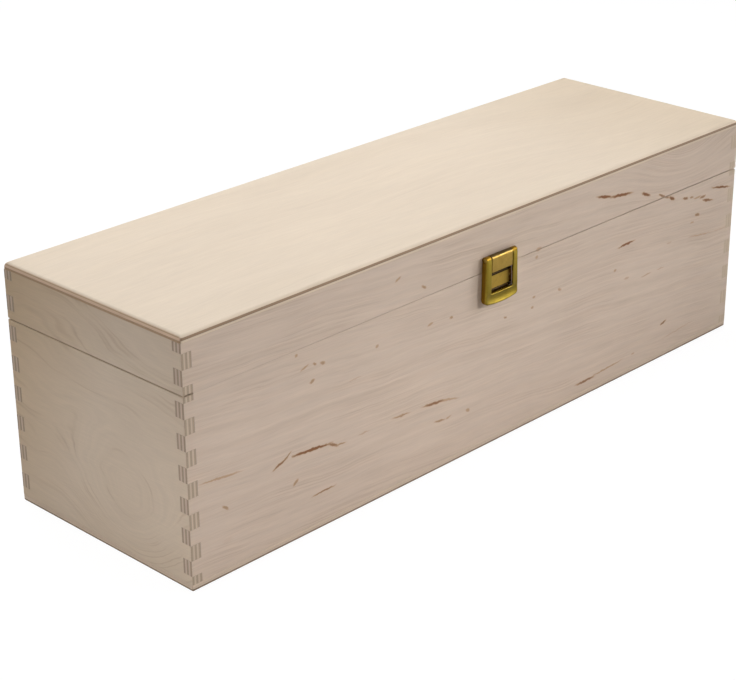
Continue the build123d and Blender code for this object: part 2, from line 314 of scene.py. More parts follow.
# %% Set up the lamps
def softbox(name, place, aim, size, power, spread=180):
    """A square lamp of this size in metres, aimed at a point. A grid can narrow its spread, in degrees."""
    light = bpy.data.lights.new(name, "AREA")
    light.shape = "SQUARE"
    light.size = size
    light.energy = power
    light.spread = math.radians(spread)
    lamp = bpy.data.objects.new(name, light)
    bpy.context.scene.collection.objects.link(lamp)
    lamp.location = place
    lamp.rotation_euler = (Vector(place) - Vector(aim)).to_track_quat("Z", "Y").to_euler()


softbox("lamp_above", (0.05, 0.35, 1.05), (0.05, 0, height), 0.9, 9.76)
softbox("lamp_front", (0.7, -1.0, 0.6), (-0.05, -width / 2, 0.075), 0.4, 0.139, 20)
softbox("lamp_right", (1.25, -0.6, 0.42), (0, -width / 2, 0.06), 0.8, 0.841, 36)
softbox("lamp_corner", (-1.2, -0.06, 0.25), (-length / 2, -width / 2, 0), 0.25, 0.067, 22)
view = bpy.context.scene.view_settings
view.view_transform = "Standard"
print("lamps, view transform", view.view_transform)

# %% [markdown]
# ## How plywood looks
#
# Plywood is a stack of thin sheets, and each sheet's grain runs across that of its neighbours.
# On its broad side one sheet of birch shows, with faint growth lines. On a cut edge the sheets
# show as stripes: where the cut goes across the fibres the wood is dark, and where it goes along
# them it is pale. So one rule in space gives the whole look. From how deep a point lies under
# the outer side comes its sheet, and from how the surface is turned against that sheet's fibres
# comes dark or pale. Fingers, sawn rims and rounded edges then all look right by themselves.
#
# The first group turns the box's coordinates into the board's own: along its grain, across it,
# and down into it.

# %% Board coordinates
tree, given = open_group("board_coordinates", "ShaderNodeTree",
    {"Along": (1, 0, 0), "Across": (0, 0, 1), "Inward": (0, 1, 0), "Outer Side": 0.0})
coordinates = wires(add(tree, "ShaderNodeTexCoord"))


def in_board(vector):
    return [calc("DOT_PRODUCT", vector, given[axis]) for axis in ("Along", "Across", "Inward")]


along, across, inward = in_board(coordinates["Object"])
board_coordinates = close_group(tree, Place=join(along, across, inward - given["Outer Side"]),
                                Facing=join(*in_board(coordinates["Normal"])))

# %% [markdown]
# ## Growth lines
#
# Veneer is peeled off the log like paper off a roll, so the growth rings are cut at a shallow
# angle and show as long wavy lines that close into loops where the log swelled. They are the
# contour lines of a gently bent surface. The group bends the coordinate across the grain with a
# slope, one swelling and slow noise, and then reads a one-dimensional noise at that coordinate.
# Lines of uneven width and strength come out that way, as in real wood, and not even stripes.
# Where the noise is high there is a broad streak, and where it passes its middle there is a thin
# contour. Contour says how much of the one or the other a side shows.

# %% Growth line group
slow_scale = (1, 2.2, 1)
shiver_scale = (45, 130, 1)
fade_scale = (22, 70, 1)
apart = 31.7  # so far along the noise, the lines no longer follow the bands
contour_width = 0.035

tree, given = open_group("growth_lines", "ShaderNodeTree",
    {"Place": origin, "Lean": 0.0, "Wave": 0.003, "Wave Length": 0.08, "Swell Place": origin,
     "Swell Size": (0.05, 0.03, 1), "Swell Height": 0.0, "Shiver": 0.002, "Spacing": 0.006,
     "Contour": 0.0, "Seed": 0.0})
x, y, depth = split(given["Place"])
flat = join(x, y)
wave_scale = calc("DIVIDE", 1.0, given["Wave Length"])
slow = noise(flat * slow_scale, wave_scale, 2.5, 0.45, given["Seed"]) - 0.5
away = calc("LENGTH", (flat - given["Swell Place"]) / given["Swell Size"])
swell = calc("EXPONENT", away * away * -1.0) * given["Swell Height"]
shiver = noise(flat * shiver_scale, 1.0) - 0.5
bent = x * given["Lean"] + y + slow * given["Wave"] + swell + shiver * given["Shiver"]
ring = bent / given["Spacing"] + given["Seed"]
bands = noise(ring, 0.9, 3.0, 0.65)
fine = noise(ring + apart, 2.6, 2.0, 0.55)
streaks = ramp(fine, 0.54, 0.68)
contour = ramp(abs(fine - 0.5), contour_width, 0.0)
lines = (contour - streaks) * given["Contour"] + streaks
fade = ramp(noise(flat * fade_scale, 1.0), 0.4, 0.64)
growth_lines = close_group(tree, Bent=bent, Bands=bands, Lines=lines * fade)

# %% [markdown]
# ## Pith flecks
#
# The brown dashes on birch are pith flecks, where an insect's tunnel was filled with darker
# cells. One fleck is an ellipse that lies along the grain. The group turns and stretches the
# coordinates so that the ellipse becomes a ball of radius one, and darkens what is inside it.
# The front of this box has some that one would know it by, so those are listed one by one, and a
# cell pattern scatters small ones over all sides.
#
# Sixty ellipses side by side would make a slow material. Only one of them can matter at any
# point, so the placed ones are dealt out into a few lanes, in which no two share a place along
# the board. A colour ramp without blending then serves as a table: at each place along the
# board it gives the numbers of that lane's fleck, and one ellipse per lane is enough.

# %% Pith fleck groups
tree, given = open_group("pith_fleck", "ShaderNodeTree",
    {"Place": origin, "Spot": origin, "Form": origin, "Spot Scale": (1, 1, 1), "Form Scale": (1, 1, 1)})
middle_x, middle_y, turn = split(given["Spot"] * given["Spot Scale"])
half_length, half_width, strength = split(given["Form"] * given["Form Scale"])
local = wire(tree, "ShaderNodeMapping", {"Vector": given["Place"], "Location": join(middle_x, middle_y),
             "Rotation": join(0.0, 0.0, turn), "Scale": join(half_length, half_width, 1.0)},
             vector_type="TEXTURE")
away = calc("LENGTH", local * (1, 1, 0))
pith_fleck = close_group(tree, Mask=ramp(away, 1.6, 0.5) * strength)

cells_along, cells_across = 26.0, 95.0
dot_size, least_dot = 0.085, 0.012
tree, given = open_group("scattered_flecks", "ShaderNodeTree",
    {"Place": origin, "Bent": 0.0, "Share": 0.3, "Seed": 0.0})
x, y, depth = split(given["Place"])
cells = join(x * cells_along, given["Bent"] * cells_across, given["Seed"])
dots = wires(add(tree, "ShaderNodeTexVoronoi", {"Vector": cells, "Scale": 1.0, "Randomness": 1.0}))
luck, largeness, strength = split(dots["Color"])
near = dots["Distance"] / (calc("POWER", largeness, 2.0) * dot_size + least_dot)
mask = ramp(near, 1.0, 0.3) * (luck < given["Share"])
scattered_flecks = close_group(tree, Mask=mask * ramp(strength, 0, 1, 0.35, 1.0))

# %% [markdown]
# ## Birch plywood
#
# The main group joins the effects. The outer sheet carries growth lines, flecks and a fine
# fibre. On the edges, the stripe of each sheet is mixed in by how the surface is turned. The
# fibre is a noise that is squeezed across the sheet's own grain, so it draws long streaks on the
# broad side and fine dots on a cut across it. A thin glue line parts the sheets, and where a
# board asks for it, its rounded edge is made darker within about a millimetre of the outer side.

# %% Plywood group
fibre_scale, crossed_fibre_scale = (70, 1900, 1900), (1900, 70, 1900)
streak_scale, cloud_scale = (30, 420, 420), (12, 26, 26)
fibre_tone, streak_tone, cloud_tone, cut_fibre_tone = 0.16, 0.24, 0.16, 0.35
plain_rough, fibre_rough, cut_rough = 0.56, 0.12, 0.18
glue_tone, glue_relief, fleck_relief = 0.45, -0.8, -0.5
# the tone that the painted falloff shade darkens the wood towards
falloff_shade_tone = (0.78, 0.66, 0.45)
amber, rust = (0.6, 0.355, 0.18, 1), (0.3, 0.125, 0.05, 1)
glue_colour = (0.3, 0.2, 0.12, 1)
edge_darkening_depth, edge_darkening_end = 1.0 * mm, 1.3 * mm
any_colour = (0.7, 0.6, 0.5, 1)  # each use gives its own

tree, given = open_group("birch_plywood", "ShaderNodeTree",
    {"Place": origin, "Facing": (0, 0, 1), "Sheet": 0.001, "Count": 5.0, "Pale": any_colour,
     "Band Colour": any_colour, "Line Colour": any_colour, "End Grain": any_colour,
     "Long Grain": any_colour, "Core Grain": any_colour, "Core": 1.0, "Bent": 0.0, "Bands": 0.5,
     "Lines": 0.0, "Band Depth": 0.5, "Line Depth": 0.5, "Flecks": 0.0, "Grain": 1.0, "Edge Darkening": 0.0,
     "Shade Way": origin, "Shade Start": 0.0, "Seed": 0.0})
place, seed = given["Place"], given["Seed"]
x, y, depth = split(place)
facing_along, facing_across, facing_out = split(abs(given["Facing"]))
sheets = (depth + 1e-5) / given["Sheet"]
crossed = calc("MINIMUM", calc("FLOOR", sheets), given["Count"] - 1.0) % 2.0
fibre_place = mix(crossed, place * fibre_scale, place * crossed_fibre_scale, "VECTOR")
fibre = noise(fibre_place, 1.0, 2.0, 0.6, seed) - 0.5
streak = noise(join(x, given["Bent"], depth) * streak_scale, 1.0, 3.0, 0.6, seed) - 0.5
cloud = noise(place * cloud_scale, 1.0, 3.0, 0.55, seed) - 0.5

# the broad side
face = blend(ramp(given["Bands"], 0.35, 0.7) * given["Band Depth"], given["Pale"], given["Band Colour"])
face = blend(given["Lines"] * given["Line Depth"], face, given["Line Colour"])
face = face * (fibre * fibre_tone + 1.0 + streak * given["Grain"] * streak_tone + cloud * cloud_tone)
# painted shade: darker beyond a start along a way, standing for the lamps' falloff across a side
falloff_shade = clamp(calc("DOT_PRODUCT", place, given["Shade Way"]) + given["Shade Start"])
face = blend(falloff_shade, face, face * falloff_shade_tone)
face = blend(ramp(given["Flecks"], 0.04, 0.5, 0.0, 0.7), face, amber)
face = blend(ramp(given["Flecks"], 0.4, 0.95), face, rust)

# the cut edges
cut_fibres = ramp(mix(crossed, facing_along, facing_across), 0.3, 0.85)
end_grain = given["End Grain"] * (crossed * (given["Core"] - 1.0) + 1.0)
long_grain = blend(crossed, given["Long Grain"], given["Core Grain"])
edge = blend(cut_fibres, long_grain, end_grain) * (fibre * cut_fibre_tone + 1.0)
glue = ramp(abs(calc("FRACT", sheets) - 0.5), 0.42, 0.5) * glue_tone
edge = blend(glue, edge, glue_colour)

on_edge = ramp(facing_out, 0.9, 0.6)
# a rounded edge within about a millimetre of the outer side is made darker, towards the glue colour
rounded = ramp(depth, edge_darkening_end, edge_darkening_depth) * ramp(facing_out, 0.99, 0.9)
colour = blend(rounded * given["Edge Darkening"], blend(on_edge, face, edge), glue_colour)
rough = fibre * fibre_rough + plain_rough + cut_fibres * on_edge * cut_rough
relief = fibre + given["Flecks"] * fleck_relief + glue * glue_relief
birch_plywood = close_group(tree, Color=colour, Roughness=rough, Height=relief)

# %% [markdown]
# ## One finish for each side
#
# Each side of the box was cut from another place of the sheet, so it has its own colour and its
# own figure. The base and the lid share one finish on a side, because they were one board until
# the saw parted them: the growth lines run on across the seam.

# %% Flecks on the front
# Each fleck: its middle along and up the front, its half length and half width, all in
# millimetres, its turn in degrees, and how strong it is.
front_flecks = (
    (-131.5, 38.4, 4.2, 0.42, 20, 0.8), (-128, 40, 3.2, 0.35, 32, 0.7), (-114.2, 38.3, 10.8, 0.5, -5, 1),
    (-101.7, 36.1, 3.2, 0.55, -25, 0.75), (-97.1, 34.8, 3, 0.35, -8, 0.6), (-83.3, 34.9, 3.5, 0.25, 0, 0.35),
    (-60.8, 34.8, 5, 0.4, -5, 0.6), (-163.3, 44.4, 10.5, 0.4, -6, 0.5), (-161.4, 30.4, 1.9, 0.5, -40, 0.6),
    (-123.2, 26.8, 1.7, 0.6, 40, 0.6), (-107.5, 16.8, 6, 0.35, 2, 0.75), (-121.2, 82.8, 0.8, 0.55, 0, 0.5),
    (-116.7, 76.1, 2.4, 0.4, 18, 0.5), (-111.2, 75.8, 1.2, 0.5, -20, 0.6),
    (-106.7, 74.8, 1.4, 0.55, -15, 0.6), (-112.7, 68.7, 1.6, 0.55, 20, 0.6),
    (-75.2, 71.9, 0.9, 0.6, 0, 0.5), (-88.3, 61.4, 4, 0.25, 0, 0.3), (-62.5, 97.9, 1.8, 0.45, 25, 0.5),
    (-160.8, 15.4, 3, 1, 0, 0.15), (-46.7, 89.8, 1.6, 0.5, -30, 0.6),
    (-42.8, 71.4, 1.7, 0.45, 15, 0.5), (-29.3, 70.3, 1, 0.45, 0, 0.6), (6.3, 59.1, 1, 0.4, -20, 0.6),
    (25.8, 63, 1, 0.45, 0, 0.5), (25, 58.3, 1, 0.45, -20, 0.5), (44.2, 61.1, 1.4, 0.55, -25, 0.5),
    (28.3, 85.4, 2, 0.7, 0, 0.45), (27.1, 81.9, 1, 0.7, 0, 0.45), (-40, 33.3, 7, 0.5, -6, 0.8),
    (-30.8, 31.8, 6.5, 0.4, -12, 0.45), (-36.3, 23.5, 3.3, 0.4, -8, 0.6), (-30.8, 23.2, 1.8, 0.35, 12, 0.45),
    (-17.9, 22.1, 1.4, 0.55, -20, 0.5), (75, 97.8, 5.4, 0.55, -13, 0.95), (87.5, 95.3, 7.6, 0.6, -7, 0.95),
    (106.8, 90.6, 3.4, 0.65, -24, 0.9), (119.5, 86.6, 2.6, 0.5, -25, 0.75),
    (123.6, 84.7, 1.8, 0.5, -20, 0.7), (144, 79.3, 1.6, 0.45, -5, 0.6),
    (153.4, 77.2, 2.2, 0.5, 5, 0.7), (127.7, 83.1, 2.3, 0.65, -28, 0.9),
    (139, 80, 2, 0.55, -15, 0.75), (148.8, 77.9, 3, 0.4, 0, 0.5), (157.5, 74.3, 4.4, 0.5, -15, 0.8),
    (168.5, 78.1, 7, 0.45, -12, 0.9), (149.6, 68.8, 2, 0.55, -15, 0.7), (145.8, 65.8, 1.6, 0.4, 0, 0.4),
    (93.3, 69.3, 5.5, 0.45, 2, 1), (85.4, 58.3, 1, 0.5, 0, 0.5), (94.6, 51.7, 2, 0.45, 0, 0.35),
    (110, 48.8, 4, 0.3, 0, 0.4), (121.7, 48.9, 3, 0.25, 0, 0.35), (153.3, 57.4, 10, 0.3, -8, 0.4),
    (170.8, 55.7, 8, 0.25, -2, 0.3), (127.5, 60.4, 2, 0.4, 0, 0.3), (126.3, 18.8, 2.3, 0.5, 15, 0.8),
    (65.8, 7.9, 6.5, 0.5, 0, 0.8), (81.7, 8.9, 12, 0.35, 3, 0.5), (138.3, 10.8, 13, 0.25, 4, 0.3),
    (102.5, 9.8, 1.2, 0.45, 0, 0.4))
spot_scale = (length, height, math.pi)
form_scale = (16 * mm, 2 * mm, 1)
fleck_swelling = 1.25
longest_lane = 31  # a colour ramp holds 32 stops
lane_gap = 1.5
wobble_scale = 480
wobble_reach = (1.5 * mm, 1.3 * mm, 0)


def lanes_of(flecks):
    """Deals the flecks out into lanes, so that in one lane no two share a place along the board."""
    lanes = []
    for fleck in sorted(flecks, key=lambda f: f[0] - f[2]):
        for lane in lanes:
            if lane[-1][0] + lane[-1][2] + lane_gap < fleck[0] - fleck[2] and len(lane) < longest_lane:
                lane.append(fleck)
                break
        else:
            lanes.append([fleck])
    return lanes


def fleck_table(along_board, lane, row):
    """A colour ramp that gives, at each place along the board, the row of its lane's fleck."""
    table = add(along_board.tree, "ShaderNodeValToRGB", {0: along_board})
    table.color_ramp.interpolation = "CONSTANT"
    stops = table.color_ramp.elements
    stops.remove(stops[1])
    stops[0].position = 0
    stops[0].color = (*row(lane[0]), 1)
    for last, fleck in zip(lane, lane[1:]):
        border = ((last[0] + last[2]) + (fleck[0] - fleck[2])) / 2
        stops.new(border * mm / length + 0.5).color = (*row(fleck), 1)
    return Wire(table.outputs[0])


def spot_row(fleck):
    return fleck[0] * mm / length + 0.5, fleck[1] * mm / height, fleck[4] / 180 + 0.5


def form_row(fleck):
    return fleck[2] * mm / form_scale[0], fleck_swelling * fleck[3] * mm / form_scale[1], fleck[5]


def add_placed_flecks(mask, place, flecks, sheet):
    """Adds the listed flecks to a mask, on the outer sheet only."""
    tree = place.tree
    wobble = wire(tree, "ShaderNodeTexNoise", {"Vector": place, "Scale": wobble_scale, "Detail": 3}, "Color")
    ragged = place + (wobble - (0.5, 0.5, 0.5)) * wobble_reach
    x, y, depth = split(place)
    along_board = x * (1 / length) + 0.5
    outer_sheet = depth < sheet
    for lane in lanes_of(flecks):
        spot = fleck_table(along_board, lane, spot_row) - (0.5, 0, 0.5)
        form = fleck_table(along_board, lane, form_row)
        fleck = use(tree, pith_fleck, {"Place": ragged, "Spot": spot, "Form": form,
                    "Spot Scale": spot_scale, "Form Scale": form_scale})
        mask = calc("MAXIMUM", mask, fleck["Mask"] * outer_sheet)
    return mask


print(len(front_flecks), "flecks on the front, in", len(lanes_of(front_flecks)), "lanes")

# %% Plywood finishes
figure_values = ("Lean", "Wave", "Wave Length", "Swell Place", "Swell Size", "Swell Height", "Shiver",
                 "Spacing", "Contour", "Seed")
figures = {
    "front": (0.07, 0.012, 0.12, (0.138, 0.114, 0), (0.032, 0.024, 1), 0.024, 0.002, 0.0038, 0.6, 3.0),
    "back": (-0.04, 0.015, 0.11, (-0.08, 0.06, 0), (0.07, 0.03, 1), 0.025, 0.002, 0.006, 0.0, 21.0),
    "left": (-0.1, 0.07, 0.1, (-0.016, 0.026, 0), (0.03, 0.024, 1), 0.04, 0.004, 0.046, 1.0, 8.0),
    "right": (0.12, 0.05, 0.08, (0.0, 0.07, 0), (0.03, 0.03, 1), 0.018, 0.002, 0.012, 0.0, 34.0),
    "top": (0.05, 0.03, 0.15, (0.15, 0, 0), (0.06, 0.04, 1), 0.02, 0.002, 0.014, 0.7, 12.0),
    "bottom": (-0.03, 0.03, 0.13, (-0.1, 0.02, 0), (0.06, 0.04, 1), 0.02, 0.002, 0.009, 0.0, 55.0),
}
small_fleck_strength = 0.5
birch_of = {}


def end_material(tree, look, relief, reach, extra):
    """Puts a look's colour, gloss and relief into one Principled shader."""
    bump = wire(tree, "ShaderNodeBump", {"Height": look["Height"], "Strength": relief, "Distance": reach})
    shader = wire(tree, "ShaderNodeBsdfPrincipled", {"Base Color": look["Color"],
                  "Roughness": look["Roughness"], "Normal": bump, **extra})
    add(tree, "ShaderNodeOutputMaterial", {"Surface": shader})


def birch(side, axes, plies, pale, flecks=(), fleck_share=0.25, depth=(0.5, 0.5), end=(0.6, 0.55, 0.5),
          long=(0.87, 0.85, 0.83), grain=1.0, edge_darkening=0.0, core=1.0, core_grain=None, falloff_shade=(origin, 0.0)):
    """Plywood for one side. Axes are the ways along, across and into the board, and where its outer
    side lies on the last. Plies are one sheet's thickness and their number. Depth is how strong the
    figure's bands and lines show. End and long are the tones of the cut sheets as a share of the
    pale wood. Core gives how much darker the crossed sheets are cut across, and core_grain their
    own tone cut along. The last argument is a way and a start: beyond them the wood is painted
    darker, a painted shade that stands for the lamps' falloff."""
    growth = dict(zip(figure_values, figures[side]))
    material = bpy.data.materials.new("birch_" + side)
    tree = fresh_tree(material)
    board = use(tree, board_coordinates, dict(zip(("Along", "Across", "Inward", "Outer Side"), axes)))
    figure = use(tree, growth_lines, {"Place": board["Place"], **growth})
    small = use(tree, scattered_flecks, {"Place": board["Place"], "Bent": figure["Bent"],
                "Share": fleck_share, "Seed": growth["Seed"]})
    mask = small["Mask"] * small_fleck_strength
    if flecks:
        mask = add_placed_flecks(mask, board["Place"], flecks, plies[0])
    tones = {"Pale": (1, 1, 1), "Band Colour": (0.9, 0.87, 0.83), "Line Colour": (0.7, 0.62, 0.54),
             "End Grain": end, "Long Grain": long, "Core Grain": core_grain or long}
    colours = {label: (*(a * b for a, b in zip(tone, pale)), 1) for label, tone in tones.items()}
    look = use(tree, birch_plywood, {**board, **figure, **colours, "Flecks": mask, "Sheet": plies[0],
               "Count": plies[1], "Seed": growth["Seed"], "Band Depth": depth[0], "Line Depth": depth[1],
               "Grain": grain, "Edge Darkening": edge_darkening, "Core": core, "Shade Way": falloff_shade[0], "Shade Start": falloff_shade[1]})
    end_material(tree, look, 0.25, 0.1 * mm, {"Specular IOR Level": 0.3})
    birch_of["wood_" + side] = material


wall_plies, panel_plies = (wall / 5, 5), (base_low / 3, 3)
X, Y, Z = (1, 0, 0), (0, 1, 0), (0, 0, 1)
to_left, to_front, down = (-1, 0, 0), (0, -1, 0), (0, 0, -1)
birch("front", (X, Z, Y, -width / 2), wall_plies, (0.815, 0.658, 0.535), front_flecks, 0.1, (0.42, 0.65))
birch("back", (X, Z, to_front, -width / 2), wall_plies, (0.79, 0.64, 0.51), (), 0.3, (0.5, 0.45))
# The left end is painted darker towards its far top: painted shade of the lamps' falloff.
birch("left", (Y, Z, X, -length / 2), wall_plies, (0.785, 0.64, 0.5), (), 0.06, (0.16, 0.42),
      (0.7, 0.65, 0.61), (0.93, 0.92, 0.9), 0.7, falloff_shade=((9, 4, 0), -0.25))
birch("right", (Y, Z, to_left, -length / 2), wall_plies, (0.79, 0.64, 0.49), (), 0.2, (0.45, 0.5),
      (0.92, 0.9, 0.88), (0.97, 0.96, 0.95), 0.8)
# The top is painted darker towards its right end: painted shade of the lamps' falloff.
birch("top", (X, Y, down, -height), panel_plies, (0.795, 0.675, 0.54), (), 0.05, (0.17, 0.13),
      # The top's cut long grain is set paler than its face, 1.1 times the pale wood, so that its rounded
      # edge stays light where it turns away from the lamp above: painted light.
      (0.68, 0.53, 0.42), (1.1, 1.07, 1.03), 0.5, core=0.76, core_grain=(0.99, 0.85, 0.77),
      falloff_shade=((2, 0, 0), -0.16))
# The bottom's rounded edge is made darker within about a millimetre of its underside.
birch("bottom", (X, Y, Z, 0.0), panel_plies, (0.79, 0.64, 0.51), (), 0.3, (0.45, 0.4),
      (1.0, 0.99, 0.98), (1.04, 1.03, 1.02), edge_darkening=1.0)
print("plywood finishes:", ", ".join(m.name for m in birch_of.values()))

# %% [markdown]
# ## From a solid to a finished piece
#
# Small helpers finish every mesh in the same way. `bake` asks Blender for the mesh that the
# modifiers give, puts it on the object as a plain mesh, and takes the modifiers off. `settle`
# then lets it ride on its body, in place of the frame's own solid.

# %% Finishing helpers
def bake(piece):
    graph = bpy.context.evaluated_depsgraph_get()
    mesh = bpy.data.meshes.new_from_object(piece.evaluated_get(graph), preserve_all_data_layers=True,
                                           depsgraph=graph)
    piece.modifiers.clear()
    piece.data = mesh
    mesh.name = piece.name
    return piece


def settle(piece, body, slot, *replaced):
    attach(piece, body)
    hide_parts(*replaced)
    print(piece.name, len(piece.data.polygons), "faces")


def empty_piece(name):
    piece = bpy.data.objects.new(name, bpy.data.meshes.new(name))
    bpy.context.scene.collection.objects.link(piece)
    return piece


def use_tree(piece, tree, values):
    """Puts a Geometry Nodes tree on a piece and sets its inputs, by the identifiers of their sockets."""
    modifier = piece.modifiers.new(tree.name, "NODES")
    modifier.node_group = tree
    for item in tree.interface.items_tree:
        if item.item_type == "SOCKET" and item.in_out == "INPUT" and item.name in values:
            modifier[item.identifier] = values[item.name]


def finished(geometry, material):
    """The last steps of a Geometry Nodes tree: real geometry instead of instances, and its material."""
    geometry = wire(geometry.tree, "GeometryNodeRealizeInstances", {"Geometry": geometry})
    return wire(geometry.tree, "GeometryNodeSetMaterial", {"Geometry": geometry, "Material": material})


print("finishing helpers are ready")

# %% [markdown]
# ## The finger-jointed walls
#
# A wall with box joints follows a rule, so Geometry Nodes can build it. It starts as a grid with
# three columns, one for each end and one for the wall between them, and with a row for each
# finger. The columns and rows are moved to the joint's real sizes, and at the ends every second
# face is deleted. That leaves the wall's outline with its fingers, and Extrude gives it the
# thickness of the board.
#
# The heights of the joint are counted from the bottom of the box for the base and the lid alike,
# because the box was glued before it was sawn. So the saw can cut a finger in two, as the real
# one did. The sawn rim may rise a little towards one end, as the gap of a lid that doesn't close
# quite evenly. The edges get their softness from a Bevel modifier that reads a weight for each:
# much at the box's corners and at the sawn rims, and only a hair where fingers meet, which is
# enough for the thin shadow line in the photograph.

# %% Tree for a finger-jointed wall
touching = 1e-5  # places closer than this count as the same
tree, given = open_group("finger_wall", "GeometryNodeTree",
    {"Geometry": GEOMETRY, "Run": 0.36, "Thickness": 0.005, "Low": 0.003, "High": 0.085, "Rim": 0.085,
     "First Joint": 0.0069, "Finger": 0.00685, "Least Finger": 0.0007, "Odd Fingers": 0,
     "Corner Weight": 0.8, "Rim Weight": 1.0, "Rim Rise": 0.0, "Joint Weight": 0.2, "Turn": origin,
     "Move": origin, "Finish": MATERIAL})


def count_from(height, rounding):
    return calc(rounding, (height - given["First Joint"]) / given["Finger"])


# joints are numbered from 1 at the first joint
first = calc("MAXIMUM", count_from(given["Low"] + given["Least Finger"], "FLOOR") + 2.0, 1.0)
last = count_from(given["High"] - given["Least Finger"], "CEIL")
rows = last - first + 2.0
grid = wire(tree, "GeometryNodeMeshGrid", {"Size X": 3.0, "Size Y": rows, "Vertices X": 4,
            "Vertices Y": rows + 1.0}, "Mesh")
cell_x, cell_y, cell_z = split(wire(tree, "GeometryNodeInputPosition"))
half_rows = rows / 2.0

# at both ends every second face goes
row = calc("FLOOR", cell_y + half_rows)
at_end = abs(cell_x) > 0.75
gone = (row + first + given["Odd Fingers"]) % 2.0 * at_end > 0.5
sheet = wire(tree, "GeometryNodeDeleteGeometry", {"Geometry": grid, "Selection": gone}, domain="FACE")

# the columns and rows go to the joint's real places
half_run = given["Run"] / 2.0
reach = mix(abs(cell_x) > 1.0, half_run - given["Thickness"], half_run)
across = calc("SIGN", cell_x) * reach
line = calc("ROUND", cell_y + half_rows)
level = (line + first - 2.0) * given["Finger"] + given["First Joint"]
level = mix(line < 0.5, level, given["Low"])
level = mix(line > rows - 0.5, level, given["High"])
on_rim = abs(level - given["Rim"]) < touching
level = (across / given["Run"] + 0.5) * on_rim * given["Rim Rise"] + level
place = join(across, 0.0, level)
sheet = wire(tree, "GeometryNodeSetPosition", {"Geometry": sheet, "Position": place})

# the sheet is the outer side, and its flipped copy is drawn out to the inner side
inner = wire(tree, "GeometryNodeFlipFaces", {"Mesh": sheet})
inner = wire(tree, "GeometryNodeExtrudeMesh", {"Mesh": inner, "Offset": (0, 1, 0),
             "Offset Scale": given["Thickness"], "Individual": False}, mode="FACES")
joined = add(tree, "GeometryNodeJoinGeometry")
for part in (sheet, inner):
    tree.links.new(part.socket, joined.inputs[0])
solid = wire(tree, "GeometryNodeMergeByDistance", {"Geometry": Wire(joined.outputs[0]), "Distance": 1e-6})

# a weight for each edge tells the Bevel modifier how soft it is
edge_x, edge_y, edge_z = split(wire(tree, "GeometryNodeInputPosition"))
outside = edge_y < touching
end = abs(edge_x) > half_run - touching
on_rim = abs(edge_z - given["Rim"]) < given["Rim Rise"] + touching
sharp = wire(tree, "GeometryNodeInputMeshEdgeAngle") > 0.5
weight = mix(outside * end, given["Joint Weight"], given["Corner Weight"])
weight = mix(on_rim * calc("MAXIMUM", outside, end), weight, given["Rim Weight"]) * sharp
solid = wire(tree, "GeometryNodeStoreNamedAttribute", {"Geometry": solid, "Name": "bevel_weight_edge",
             "Value": weight}, data_type="FLOAT", domain="EDGE")
solid = wire(tree, "GeometryNodeTransform", {"Geometry": solid, "Translation": given["Move"],
             "Rotation": given["Turn"]})
finger_wall = close_group(tree, Geometry=finished(solid, given["Finish"]))

# %% Build the eight walls
first_joint = base_low + 3.9 * mm
finger = 6.85 * mm
rim_ease = 0.6 * mm
corner_ease = 0.35 * mm
least_finger = 0.72 * mm  # what the saw leaves thinner than this goes to the finger beside it
joint_ease = 0.13 * mm
closed_gap = 0.25 * mm  # what stays open at the seam of the closed box
front_gap = 0.02 * mm
front_rise = 0.46 * mm  # the front gap is this much wider at its right end
front_rim_ease = 0.1 * mm
quarter = math.pi / 2
sides = {  # run, turn about Z, place of the outer side, 0 or 1 for which fingers it has
    "front": (length, 0.0, (0, -width / 2, 0), 0),
    "back": (length, math.pi, (0, width / 2, 0), 0),
    "left": (width, -quarter, (-length / 2, 0, 0), 1),
    "right": (width, quarter, (length / 2, 0, 0), 1),
}
for body in ("base", "lid"):
    for side, (run, turn, place, odd) in sides.items():
        board = empty_piece(f"{body}_{side}_board")
        in_front = side == "front"
        half_gap = (front_gap if in_front else closed_gap) / 2
        rim = seam - half_gap if body == "base" else seam + half_gap
        low, high = (base_low, rim) if body == "base" else (rim, lid_high)
        use_tree(board, finger_wall, {"Run": run, "Thickness": wall, "Low": low, "High": high, "Rim": rim,
                 "Rim Rise": front_rise if in_front and body == "lid" else 0.0,
                 "First Joint": first_joint, "Finger": finger, "Least Finger": least_finger,
                 "Odd Fingers": odd, "Corner Weight": corner_ease / rim_ease,
                 "Rim Weight": front_rim_ease / rim_ease if in_front else 1.0,
                 "Joint Weight": joint_ease / rim_ease, "Turn": (0, 0, turn), "Move": place,
                 "Finish": birch_of[f"wood_{side}"]})
        soft = board.modifiers.new("soft_edges", "BEVEL")
        soft.limit_method = "WEIGHT"
        soft.width = rim_ease
        soft.segments = 3
        soft.harden_normals = True
        soft.use_clamp_overlap = False
        settle(bake(board), body, f"wood_{side}", f"{body}_{side}_wall")

# %% [markdown]
# ## Softened copies
#
# The panels and the brass parts have the right shape in the frame already. What they lack is a
# soft edge that catches the light, because no real edge is perfectly sharp. A copy of a solid is
# merged, its flat triangles are joined into whole faces, and a narrow Bevel rounds only the sharp
# edges. The copy then stands for the solid.
#
# A panel's upright corners are quarter circles in the frame, while the photograph's are squarer.
# So the points round a corner are moved out from the circle's middle to a superellipse, which
# stays within the walls' corner.

# %% Softened copies of the panels
merge_distance = 0.002 * mm
flat_angle = math.radians(1.0)
squareness = 5.0  # 2 would leave a corner the quarter circle it was
top_corner, foot_corner = 2.3 * mm, 1.2 * mm  # radius of the upright corners in the frame


